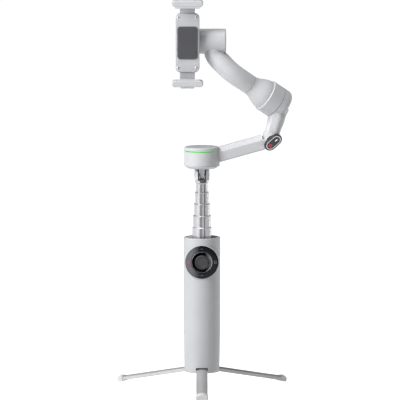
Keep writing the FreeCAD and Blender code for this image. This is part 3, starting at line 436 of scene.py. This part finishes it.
def make_pad_marks():
    """A record dot, a mode square and two dashes, raised like thick print."""
    red = bmesh.new()
    dot = rounded_outline(1.15 * MM, 1.15 * MM, 1.14 * MM)
    add_slab(red, dot, -MARK_HEIGHT, MARK_HEIGHT, mark_frame(180))
    outer = rounded_outline(1.85 * MM, 1.85 * MM, 1.84 * MM)
    inner = rounded_outline(1.6 * MM, 1.6 * MM, 1.59 * MM)
    add_frame_slab(red, outer, inner, -MARK_HEIGHT, MARK_HEIGHT, mark_frame(180))
    finish_piece("record_mark", red, MARK_DULL_RED, "control_ring")
    square = bmesh.new()
    outer = rounded_outline(1.15 * MM, 1.25 * MM, 0.5 * MM)
    inner = rounded_outline(0.85 * MM, 0.95 * MM, 0.25 * MM)
    add_frame_slab(square, outer, inner, -MARK_HEIGHT, MARK_HEIGHT, mark_frame(0))
    finish_piece("mode_mark", square, MARK_SOFT, "control_ring")
    dashes = bmesh.new()
    dash = rounded_outline(0.22 * MM, 1.2 * MM, 0.2 * MM)
    for degrees in (90, 270):
        add_slab(dashes, dash, -MARK_HEIGHT, MARK_HEIGHT, mark_frame(degrees))
    finish_piece("pad_dashes", dashes, MARK_DIM, "control_ring")


# ------------------------------------------------------------------ telescopic stick

def make_groove_shade_strips():
    """Dark strips on the floor of the two grooves down the front of each tube: painted shade for the shadowed
    groove floors.
    """
    for number in range(1, 6):
        low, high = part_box("stick_tube_%d" % number)
        lip = TUBE_LIP if 1 < number < 5 else 0.0
        floor_r = (high.x - low.x) / 2 - lip - GROOVE_DEPTH
        builder = bmesh.new()
        for centre, half in GROOVES:
            add_arc_strip(builder, floor_r + 0.1 * MM, 0.15 * MM, centre - half, centre + half,
                          low.z + 1.0 * MM, high.z - 1.0 * MM)
        finish_piece("groove_shade_strip_%d" % number, builder, GROOVE_PAINTED_SHADE, "stick_%d" % number)


def make_collar_reflection_band():
    """Dark band on the front of the collar above the last tube: a painted reflection, the dark centre that
    the shiny collar shows from the front.
    """
    low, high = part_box("stick_collar")
    builder = bmesh.new()
    add_arc_strip(builder, (high.x - low.x) / 2 + 0.06 * MM, 0.2 * MM, -2.1 * MM, 4.2 * MM,
                  low.z + 0.5 * MM, high.z - 0.3 * MM)
    finish_piece("collar_reflection_band", builder, COLLAR_PAINTED_REFLECTION, "stick_5")


# ------------------------------------------------------------------ pan motor

def make_pan_mark():
    """Two short dashes on the motor's lid."""
    low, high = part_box("pan_top_cap")
    place = axes(Vector((0, -0.6 * MM, high.z)), X_AXIS, Z_AXIS)
    builder = bmesh.new()
    for side in (-1, 1):
        outline = [(x + side * 1.45 * MM, y) for x, y in rounded_outline(1.05 * MM, 0.42 * MM, 0.3 * MM)]
        add_slab(builder, outline, -0.05 * MM, 0.06 * MM, place)
    finish_piece("lid_mark", builder, MARK_DIM, "pan_arm")


# ------------------------------------------------------------------ fold hinge

FOLD_AXIS = Vector(joints["fold"]["axis"]).normalized()
FOLD_POINT = Vector(joints["fold"]["pos_m"])


def make_fold_details():
    """Light line, red dot and white bar on the oval cap, the washer under it and the plug behind."""
    long_side = Vector((math.cos(FOLD_CAP_ANGLE), 0, math.sin(FOLD_CAP_ANGLE)))
    cap = axes(FOLD_POINT, long_side, -FOLD_AXIS)
    top = FOLD_CAP_THICKNESS
    line = bmesh.new()
    outer = rounded_outline(8.32 * MM, 4.82 * MM, 4.8 * MM, 16)
    inner = rounded_outline(7.58 * MM, 4.08 * MM, 4.06 * MM, 16)
    add_frame_slab(line, outer, inner, top - 0.42 * MM, top + 0.06 * MM, cap)
    finish_piece("cap_line", line, MARK_LIGHT, "pan_arm")
    dot = bmesh.new()
    outline = [(x - 4.3 * MM, y) for x, y in rounded_outline(2.1 * MM, 2.1 * MM, 2.09 * MM)]
    add_slab(dot, outline, top - 0.2 * MM, top + 0.12 * MM, cap)
    finish_piece("cap_dot", dot, MARK_RED, "pan_arm", bevel=0.08 * MM)
    bar = bmesh.new()
    outline = [(x + 3.7 * MM, y) for x, y in rounded_outline(1.6 * MM, 0.65 * MM, 0.6 * MM)]
    add_slab(bar, outline, top - 0.2 * MM, top + 0.1 * MM, cap)
    finish_piece("cap_bar", bar, MARK_WHITE, "pan_arm", bevel=0.06 * MM)
    washer = bmesh.new()
    ring = [(5.0 * MM, -1.3 * MM), (6.75 * MM, -1.3 * MM), (6.75 * MM, 0.05 * MM), (5.0 * MM, 0.05 * MM)]
    add_lathe(washer, ring, cap)
    finish_piece("hinge_washer", washer, MATERIALS["matte_black"], "pan_arm")
    plug = bmesh.new()
    profile = [(0.05 * MM, -0.2 * MM), (3.5 * MM, -0.2 * MM), (3.5 * MM, 0.9 * MM), (3.2 * MM, 1.3 * MM),
               (1.7 * MM, 1.4 * MM), (1.5 * MM, 1.0 * MM), (0.05 * MM, 1.0 * MM)]
    add_disc_lathe(plug, profile, axes(FOLD_POINT + FOLD_AXIS * FOLD_BOSS_END, Z_AXIS, FOLD_AXIS))
    finish_piece("hinge_plug", plug, MATERIALS["matte_black"], "fold_arm")


# ------------------------------------------------------------------ phone clamp

def make_clamp_details():
    """Ribs on the rubber pads and four screws that hold the plate's front skin."""
    low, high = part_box("clamp_pad")
    place = axes(Vector(((low.x + high.x) / 2, low.y, (low.z + high.z) / 2)), X_AXIS, Vector((0, -1, 0)))
    ribs = bmesh.new()
    for step in range(-6, 7):
        outline = [(x, y + step * 2.2 * MM) for x, y in rounded_outline(8.4 * MM, 0.5 * MM, 0.45 * MM, 4)]
        add_slab(ribs, outline, -0.1 * MM, 0.3 * MM, place)
    finish_piece("clamp_ribs", ribs, MATERIALS["pad_rubber"], "clamp", bevel=0.12 * MM)
    low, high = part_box("clamp_plate")
    middle = (low + high) / 2
    screws = bmesh.new()
    for side_x in (-1, 1):
        for side_z in (-1, 1):
            spot = Vector((middle.x + side_x * 8.9 * MM, low.y, middle.z + side_z * 25.0 * MM))
            head = axes(spot, X_AXIS, Vector((0, -1, 0)))
            profile = [(0.05 * MM, -0.1 * MM), (0.05 * MM, 0.0), (0.55 * MM, 0.0), (0.6 * MM, 0.22 * MM),
                       (1.1 * MM, 0.22 * MM), (1.35 * MM, 0.05 * MM), (1.35 * MM, -0.1 * MM)]
            add_disc_lathe(screws, profile, head, segments=24)
    finish_piece("plate_screws", screws, MATERIALS["hardware_steel"], "clamp")
    for name, side in (("upper_jaw", -1), ("lower_jaw", 1)):
        low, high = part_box(name + "_pad")
        face = low.z if side < 0 else high.z
        place = axes(Vector(((low.x + high.x) / 2, (low.y + high.y) / 2, face)), X_AXIS, Z_AXIS * side)
        ribs = bmesh.new()
        for step in range(-4, 5):
            outline = [(x + step * 2.3 * MM, y) for x, y in rounded_outline(0.45 * MM, 3.5 * MM, 0.4 * MM, 4)]
            add_slab(ribs, outline, -0.1 * MM, 0.25 * MM, place)
        finish_piece(name + "_ribs", ribs, MATERIALS["pad_rubber"], name, bevel=0.1 * MM)


# ------------------------------------------------------------------ trigger and tilt motor

def make_trigger_ribs():
    """Three finger ribs across the trigger's hollow."""
    low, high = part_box("trigger")
    builder = bmesh.new()
    for step in (-1, 0, 1):
        rise = (3.3 * step * MM) ** 2 / (2 * 26.0 * MM)
        spot = Vector((0, high.y - 1.2 * MM + rise, (low.z + high.z) / 2 + step * 3.3 * MM))
        add_slab(builder, rounded_outline(3.1 * MM, 0.42 * MM, 0.4 * MM, 4), -0.4 * MM, 0.3 * MM,
                 axes(spot, X_AXIS, Vector((0, 1, 0))))
    finish_piece("trigger_ribs", builder, MATERIALS["graphite"], "trigger", bevel=0.15 * MM)


def make_tilt_cap_disc():
    """Inset disc with a turned ring on the tilt motor's outer end."""
    low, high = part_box("tilt_end_cap")
    centre = (low + high) / 2
    place = axes(Vector((high.x, centre.y, centre.z)), Z_AXIS, X_AXIS)
    builder = bmesh.new()
    profile = [(0.05 * MM, -0.2 * MM), (0.05 * MM, 0.08 * MM), (8.3 * MM, 0.08 * MM), (8.5 * MM, -0.02 * MM),
               (8.7 * MM, -0.02 * MM), (8.8 * MM, 0.12 * MM), (9.3 * MM, 0.12 * MM), (9.45 * MM, -0.2 * MM)]
    add_disc_lathe(builder, profile, place)
    finish_piece("motor_disc", builder, MATERIALS["shell_grey"], "roll_arm")


# ------------------------------------------------------------------ studio

def area_light(name, location, target, size, power):
    light = bpy.data.lights.new(name, "AREA")
    light.shape = "RECTANGLE"
    light.size, light.size_y = size
    light.energy = power
    lamp = bpy.data.objects.new(name, light)
    bpy.context.collection.objects.link(lamp)
    lamp.location = location
    lamp.rotation_euler = (Vector(target) - Vector(location)).to_track_quat("-Z", "Y").to_euler()
    lamp.visible_camera = False


def floor_paint():
    """White sweep that glows a little, as a lit studio table does."""
    material, tree, shader = new_material("floor_paint")
    slow = noise(tree, object_coords(tree), 3.0, detail=1.0)
    tree.links.new(ramp(tree, slow, (0.24, 0.24, 0.24), (0.26, 0.26, 0.26)), shader.inputs["Base Color"])
    tree.links.new(ramp(tree, slow, (0.99, 0.99, 0.99), (1.0, 1.0, 1.0)), shader.inputs["Emission Color"])
    shader.inputs["Emission Strength"].default_value = FLOOR_GLOW
    shader.inputs["Roughness"].default_value = 0.7
    return material


def make_floor():
    mesh = bpy.data.meshes.new("floor")
    builder = bmesh.new()
    bmesh.ops.create_grid(builder, x_segments=1, y_segments=1, size=FLOOR_HALF_SIZE)
    builder.to_mesh(mesh)
    builder.free()
    floor = bpy.data.objects.new("floor", mesh)
    bpy.context.collection.objects.link(floor)
    floor.location = (0, 0, cad_box[0][2] - 0.0001)
    mesh.materials.append(floor_paint())


def studio_sky():
    """Dim overhead, and as bright as the floor at the horizon and below."""
    world = bpy.data.worlds.new("studio")
    world.use_nodes = True
    tree = world.node_tree
    background = tree.nodes["Background"]
    background.inputs["Color"].default_value = (1, 1, 1, 1)
    coords = tree.nodes.new("ShaderNodeTexCoord")
    split = tree.nodes.new("ShaderNodeSeparateXYZ")
    fade = tree.nodes.new("ShaderNodeMapRange")
    fade.inputs["From Min"].default_value = 0.01
    fade.inputs["From Max"].default_value = 0.04
    fade.inputs["To Min"].default_value = 1.0
    fade.inputs["To Max"].default_value = SKY
    tree.links.new(coords.outputs["Generated"], split.inputs["Vector"])
    tree.links.new(split.outputs["Z"], fade.inputs["Value"])
    tree.links.new(fade.outputs["Result"], background.inputs["Strength"])
    return world


def make_lights():
    middle = (0.0, 0.0, 0.2)
    area_light("key_left", (-1.45, -1.0, 1.15), middle, (0.9, 1.6), 72)
    area_light("rim_right", (1.3, 0.75, 0.45), middle, (0.25, 1.4), 7)
    area_light("top", (-0.2, -0.3, 1.9), middle, (0.8, 0.8), 24)
    bpy.context.scene.world = studio_sky()


def make_camera():
    camera_data = bpy.data.cameras.new("camera")
    camera_data.sensor_width = SENSOR
    camera_data.lens = SENSOR * CAMERA_DISTANCE / FRAME_WIDTH
    camera_data.clip_end = 100.0
    camera = bpy.data.objects.new("camera", camera_data)
    bpy.context.collection.objects.link(camera)
    out = Vector((0, -math.cos(CAMERA_ELEVATION), math.sin(CAMERA_ELEVATION)))
    camera.location = FRAME_CENTRE + out * CAMERA_DISTANCE
    camera.rotation_euler = (-out).to_track_quat("-Z", "Y").to_euler()
    bpy.context.scene.camera = camera


dress_cad_nodes()
make_control_face()
make_joystick_bowl()
make_thumb_cap()
make_pad_marks()
make_groove_shade_strips()
make_collar_reflection_band()
make_pan_mark()
make_fold_details()
make_clamp_details()
make_trigger_ribs()
make_tilt_cap_disc()
make_floor()
make_lights()
make_camera()
bpy.context.scene.view_settings.view_transform = "Standard"
